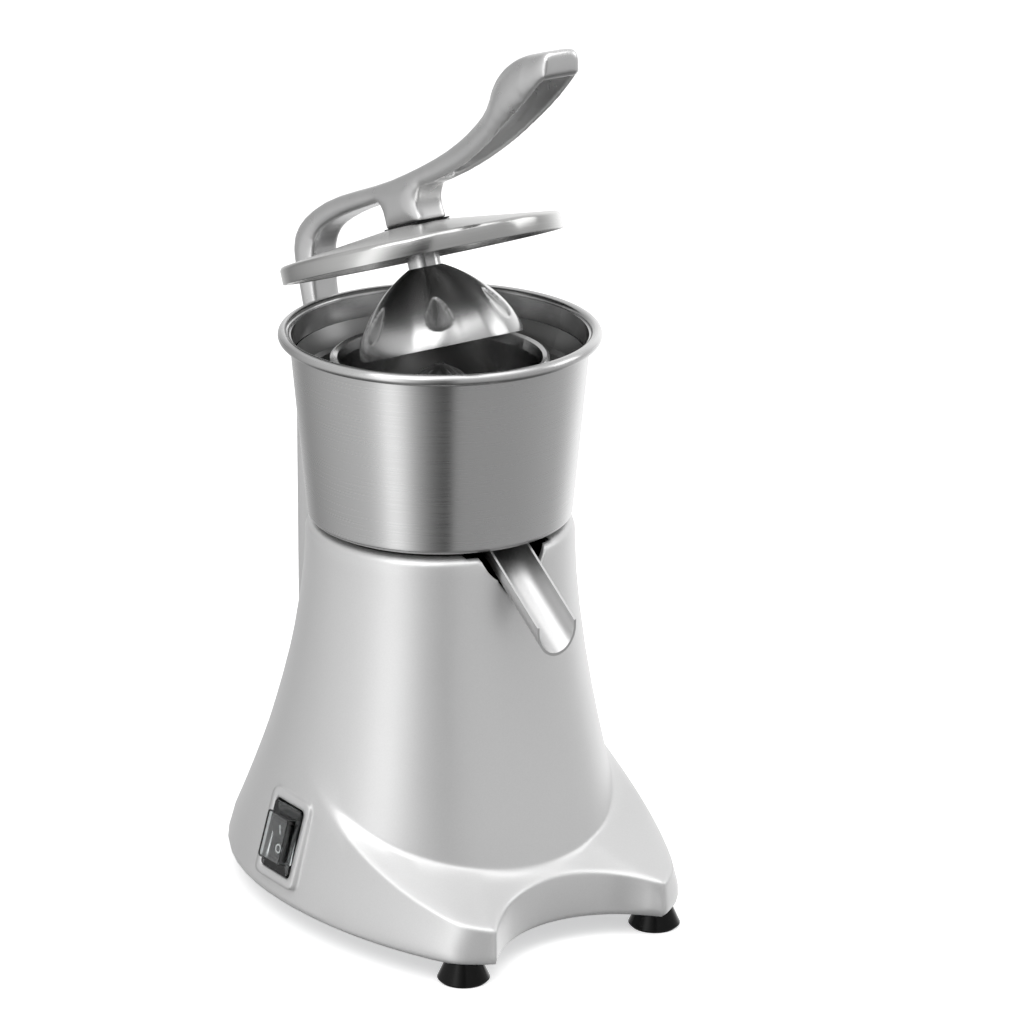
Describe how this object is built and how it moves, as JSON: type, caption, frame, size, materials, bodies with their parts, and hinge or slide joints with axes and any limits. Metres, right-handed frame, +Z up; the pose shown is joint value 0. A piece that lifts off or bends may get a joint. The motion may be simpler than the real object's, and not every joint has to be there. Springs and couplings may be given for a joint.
{
  "type": "electric citrus press",
  "caption": "Electric citrus press: a motor in a cast silver housing turns a reamer in a steel bowl, and a hinged lever presses a dome onto the fruit.",
  "frame": {"origin": "on the floor, below the axis of the drive shaft and bowl", "axes": "+Z up along the drive shaft, -Y to the front where the spout is, +X to the right seen from the front; metres"},
  "size_m": [0.1996, 0.2497, 0.457],
  "materials": {
    "silver_paint": "fine satin silver paint on cast aluminium",
    "zinc_steel": "zinc plated",
    "black_rubber": "matt",
    "brushed_steel": "brushed stainless steel",
    "polished_steel": "polished stainless steel",
    "spun_aluminium": "spun, fine circular lines",
    "cast_aluminium": "matt, tumbled casting",
    "core_steel": "bare electrical steel",
    "copper_wire": "lacquered copper wire",
    "bronze": "sintered bronze",
    "black_plastic": "fine grain",
    "clear_plastic": "clear soft plastic",
    "white_plastic": "plain"
  },
  "bodies": {
    "stand": {"housing": "silver_paint", "base_plate": "zinc_steel", "base_screws": "zinc_steel", "foot_front_left": "black_rubber", "foot_front_right": "black_rubber", "foot_rear_left": "black_rubber", "foot_rear_right": "black_rubber", "foot_screws": "zinc_steel", "spout_well": "black_plastic", "bowl_seat": "black_rubber", "bowl": "brushed_steel", "spout": "brushed_steel", "splash_ring": "brushed_steel", "strainer": "brushed_steel", "shaft_seal": "black_rubber", "motor_top_bracket": "cast_aluminium", "motor_low_bracket": "cast_aluminium", "stator_core": "core_steel", "stator_windings": "copper_wire", "top_bearing": "core_steel", "low_bearing": "core_steel", "motor_bolts": "zinc_steel", "run_capacitor": "white_plastic", "capacitor_clamp": "zinc_steel", "terminal_block": "white_plastic", "cable_gland": "black_plastic", "switch_frame": "black_plastic", "switch_cover": "clear_plastic", "hinge_bushes": "bronze"},
    "rotor": {"motor_shaft": "brushed_steel", "rotor_core": "core_steel", "rotor_cage": "cast_aluminium", "cooling_fan": "black_plastic", "slinger": "black_rubber", "drive_pin": "zinc_steel", "reamer": "brushed_steel"},
    "rocker": {"switch_rocker": "black_plastic"},
    "lever": {"lever": "cast_aluminium", "hinge_pin": "zinc_steel", "pin_clips": "zinc_steel", "lid_gasket": "black_rubber", "splash_lid": "spun_aluminium", "press_stem": "brushed_steel", "press_dome": "polished_steel", "dome_screw": "zinc_steel"}
  },
  "joints": [
    {"name": "lever_swing", "type": "hinge", "parent": "stand", "child": "lever", "pos_m": [0, 0.104, 0.271], "axis": [-1, 0, 0], "range_deg": [-21, 62]},
    {"name": "spindle_spin", "type": "hinge", "parent": "stand", "child": "rotor", "pos_m": [0, 0, 0.15], "axis": [0, 0, 1], "continuous": true},
    {"name": "rocker_tip", "type": "hinge", "parent": "stand", "child": "rocker", "pos_m": [-0.08918, 0.0035, 0.04336], "axis": [0, -1, 0], "range_deg": [-18, 0]}
  ]
}
